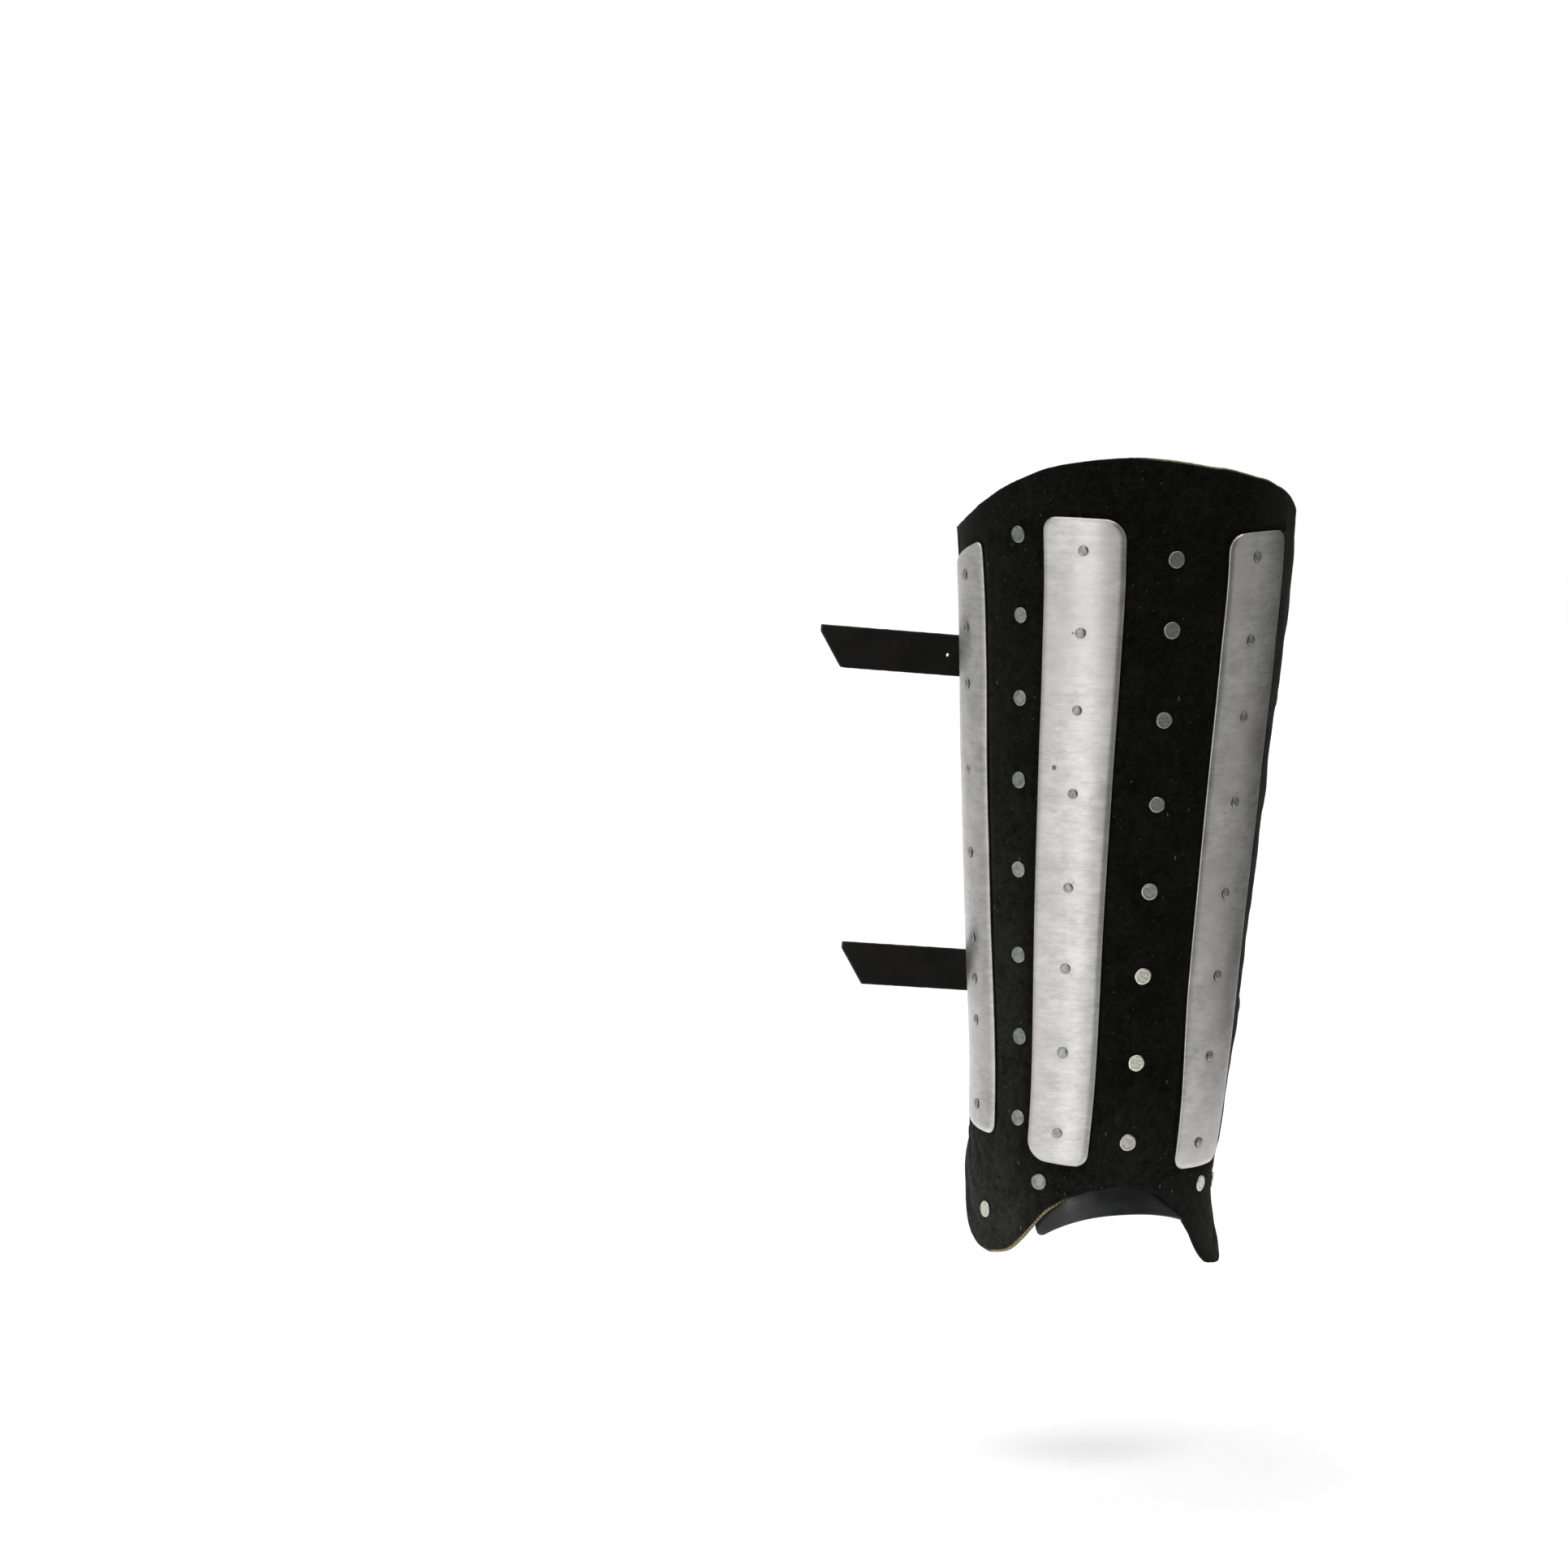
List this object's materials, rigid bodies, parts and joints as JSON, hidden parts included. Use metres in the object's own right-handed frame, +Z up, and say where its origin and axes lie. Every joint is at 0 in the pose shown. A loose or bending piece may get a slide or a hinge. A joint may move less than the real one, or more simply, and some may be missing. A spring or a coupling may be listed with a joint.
{
  "type": "splinted leather greave",
  "caption": "Black leather shin guard open at the back, with steel splints riveted along it, an arch over the instep, ankle flaps and two buckled straps that close it.",
  "frame": {"origin": "on the leg's axis at the height of the ankle bone, where the greave sits on the leg", "axes": "+X to the outer side of the wearer's left leg, -Y to the front, +Z up along the leg"},
  "size_m": [0.233, 0.1782, 0.4034],
  "materials": {
    "black_suede": "matte napped split leather with a tan cut edge",
    "brushed_steel": "brushed crosswise, smudged",
    "rivet_steel": "dull hammered steel",
    "smooth_leather": "smooth, softly glossy"
  },
  "bodies": {
    "root": {"shell": "black_suede", "inner_splint": "brushed_steel", "inner_splint_rivet_1": "rivet_steel", "inner_splint_rivet_2": "rivet_steel", "inner_splint_rivet_3": "rivet_steel", "inner_splint_rivet_4": "rivet_steel", "inner_splint_rivet_5": "rivet_steel", "inner_splint_rivet_6": "rivet_steel", "inner_splint_rivet_7": "rivet_steel", "inner_splint_rivet_8": "rivet_steel", "inner_splint_rivet_9": "rivet_steel", "front_splint": "brushed_steel", "front_splint_rivet_1": "rivet_steel", "front_splint_rivet_2": "rivet_steel", "front_splint_rivet_3": "rivet_steel", "front_splint_rivet_4": "rivet_steel", "front_splint_rivet_5": "rivet_steel", "front_splint_rivet_6": "rivet_steel", "front_splint_rivet_7": "rivet_steel", "front_splint_rivet_8": "rivet_steel", "outer_splint": "brushed_steel", "outer_splint_rivet_1": "rivet_steel", "outer_splint_rivet_2": "rivet_steel", "outer_splint_rivet_3": "rivet_steel", "outer_splint_rivet_4": "rivet_steel", "outer_splint_rivet_5": "rivet_steel", "outer_splint_rivet_6": "rivet_steel", "outer_splint_rivet_7": "rivet_steel", "outer_splint_rivet_8": "rivet_steel", "inner_row_rivet_1": "rivet_steel", "inner_row_rivet_2": "rivet_steel", "inner_row_rivet_3": "rivet_steel", "inner_row_rivet_4": "rivet_steel", "inner_row_rivet_5": "rivet_steel", "inner_row_rivet_6": "rivet_steel", "inner_row_rivet_7": "rivet_steel", "inner_row_rivet_8": "rivet_steel", "outer_row_rivet_1": "rivet_steel", "outer_row_rivet_2": "rivet_steel", "outer_row_rivet_3": "rivet_steel", "outer_row_rivet_4": "rivet_steel", "outer_row_rivet_5": "rivet_steel", "outer_row_rivet_6": "rivet_steel", "outer_row_rivet_7": "rivet_steel", "outer_row_rivet_8": "rivet_steel", "arch_inner_rivet": "rivet_steel", "arch_outer_rivet": "rivet_steel", "flap_inner_rivet": "rivet_steel", "flap_outer_rivet": "rivet_steel", "instep_crescent": "smooth_leather", "upper_strap": "smooth_leather", "upper_tab": "smooth_leather", "upper_buckle": "rivet_steel", "upper_strap_rivet": "rivet_steel", "lower_strap": "smooth_leather", "lower_tab": "smooth_leather", "lower_buckle": "rivet_steel", "lower_strap_rivet": "rivet_steel"}
  },
  "joints": []
}
